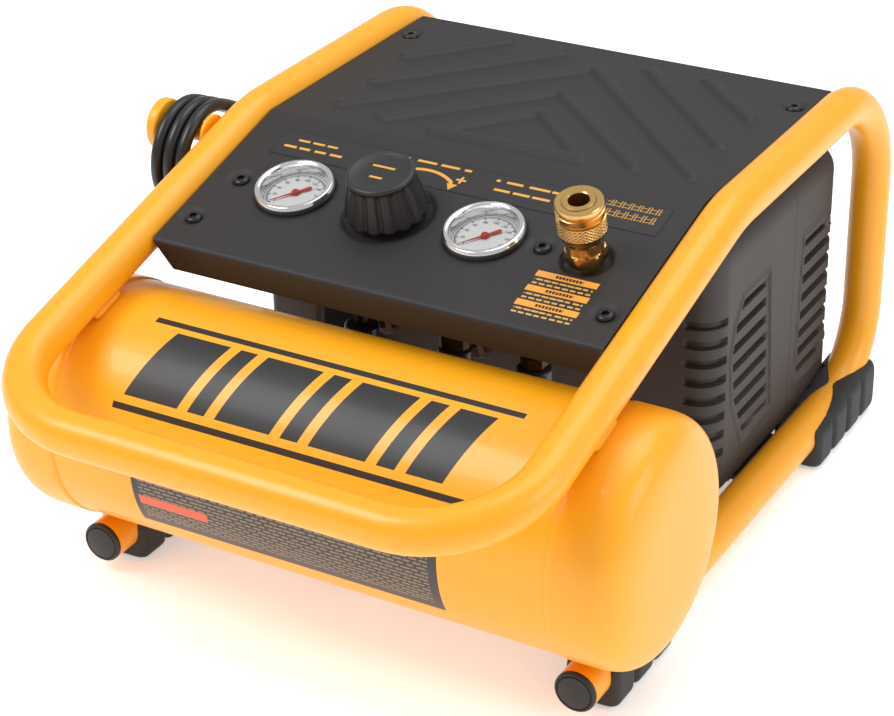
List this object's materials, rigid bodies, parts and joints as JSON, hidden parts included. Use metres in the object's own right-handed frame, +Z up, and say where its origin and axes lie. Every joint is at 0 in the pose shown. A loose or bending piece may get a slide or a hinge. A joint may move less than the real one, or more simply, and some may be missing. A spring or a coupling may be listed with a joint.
{
  "type": "portable air compressor",
  "caption": "Hand-carry air compressor: small horizontal tank in a bent-tube roll frame, sheet console with gauges, regulator and coupler, louvred motor cowl.",
  "frame": {"origin": "on the floor under the middle of the bounding box, measured without the cord's pieces", "axes": "+Z up, -Y towards the front crossbar, +X to the right seen from the front"},
  "size_m": [0.369, 0.4708, 0.2309],
  "materials": {
    "yellow_paint": "smooth semi-gloss enamel",
    "black_powder_coat": "fine textured powder coat",
    "cowl_plastic": "fine grained moulded plastic",
    "black_rubber": "matt moulded rubber",
    "cord_jacket": "smooth satin cord jacket",
    "black_plastic": "satin moulded plastic",
    "bright_steel": "bright plated steel",
    "gauge_glass": "clear lens",
    "dial_white": "printed white dial",
    "needle_red": "satin red",
    "lever_red": "glossy red",
    "brass": "machined brass",
    "copper_tube": "drawn copper tube",
    "cast_alloy": "as-cast alloy",
    "machined_steel": "machined steel"
  },
  "bodies": {
    "compressor": {"air_manifold": "cast_alloy", "check_valve": "brass", "console_cover": "black_powder_coat", "cord_post": "yellow_paint", "coupler_body": "brass", "cowl_front": "cowl_plastic", "cowl_rear": "cowl_plastic", "cylinder": "cast_alloy", "cylinder_head": "cast_alloy", "drain_valve": "brass", "foot_front_left": "black_rubber", "foot_front_right": "black_rubber", "foot_rear_left": "black_rubber", "foot_rear_right": "black_rubber", "frame_front_bar": "yellow_paint", "frame_plug_left": "black_plastic", "frame_plug_right": "black_plastic", "frame_tube_left": "yellow_paint", "frame_tube_right": "yellow_paint", "isolator_1": "black_rubber", "isolator_2": "black_rubber", "isolator_3": "black_rubber", "isolator_4": "black_rubber", "motor_base": "black_powder_coat", "motor_cradle": "cast_alloy", "motor_stator": "machined_steel", "outlet_gauge_bezel": "bright_steel", "outlet_gauge_case": "black_plastic", "outlet_gauge_dial": "dial_white", "outlet_gauge_lens": "gauge_glass", "outlet_pipe": "copper_tube", "power_cord_coil": "cord_jacket", "power_cord_lead": "cord_jacket", "power_cord_tail": "cord_jacket", "power_plug": "black_plastic", "pressure_switch": "black_plastic", "pump_frame": "cast_alloy", "regulator_body": "cast_alloy", "relief_valve": "brass", "strain_relief": "black_rubber", "tank_gauge_bezel": "bright_steel", "tank_gauge_case": "black_plastic", "tank_gauge_dial": "dial_white", "tank_gauge_lens": "gauge_glass", "tank_head_left": "yellow_paint", "tank_head_right": "yellow_paint", "tank_shell": "yellow_paint", "transfer_tube": "copper_tube"},
    "rotor": {"motor_rotor": "machined_steel", "crank": "machined_steel", "cooling_fan": "black_plastic"},
    "piston": {"piston_rod": "cast_alloy"},
    "regulator_knob": {"regulator_knob": "black_plastic"},
    "coupler_sleeve": {"coupler_sleeve": "brass"},
    "tank_needle": {"tank_gauge_needle": "needle_red"},
    "outlet_needle": {"outlet_gauge_needle": "needle_red"},
    "drain_knob": {"drain_knob": "brass"},
    "relief_ring": {"relief_ring": "bright_steel"},
    "switch_lever": {"switch_lever": "lever_red"}
  },
  "joints": [
    {"name": "motor_spin", "type": "hinge", "parent": "compressor", "child": "rotor", "pos_m": [0.044, 0.1268, 0.092], "axis": [1, 0, 0], "continuous": true},
    {"name": "rod_swing", "type": "hinge", "parent": "rotor", "child": "piston", "pos_m": [-0.012, 0.1268, 0.086], "axis": [1, 0, 0], "continuous": true},
    {"name": "regulator_knob_turn", "type": "hinge", "parent": "compressor", "child": "regulator_knob", "pos_m": [-0.0174, -0.04061, 0.20269], "axis": [0, -0.2522, 0.9677], "range_deg": [-720, 720]},
    {"name": "coupler_sleeve_slide", "type": "slide", "parent": "compressor", "child": "coupler_sleeve", "axis": [0, -0.2522, 0.9677], "range_m": [-0.004, 0], "stiffness_N_per_m": 800, "springref_m": 0.003},
    {"name": "tank_needle_sweep", "type": "hinge", "parent": "compressor", "child": "tank_needle", "pos_m": [-0.0735, -0.03784, 0.19205], "axis": [0, -0.2522, 0.9677], "range_deg": [-270, 0], "stiffness_Nm_per_rad": 0.0003},
    {"name": "outlet_needle_sweep", "type": "hinge", "parent": "compressor", "child": "outlet_needle", "pos_m": [0.0387, -0.03784, 0.19205], "axis": [0, -0.2522, 0.9677], "range_deg": [-270, 0], "stiffness_Nm_per_rad": 0.0003},
    {"name": "drain_knob_turn", "type": "hinge", "parent": "compressor", "child": "drain_knob", "pos_m": [0.004, -0.0912, 0.014], "axis": [0, 0, 1], "range_deg": [0, 540]},
    {"name": "relief_ring_pull", "type": "slide", "parent": "compressor", "child": "relief_ring", "axis": [0, 0, 1], "range_m": [0, 0.004], "stiffness_N_per_m": 600, "springref_m": -0.002},
    {"name": "switch_lever_tilt", "type": "hinge", "parent": "compressor", "child": "switch_lever", "pos_m": [-0.106, 0.0298, 0.1165], "axis": [1, 0, 0], "range_deg": [-27.5, 0]}
  ],
  "couplings": [
    {"joint": "rod_swing", "follows": "motor_spin", "ratio": -1}
  ]
}
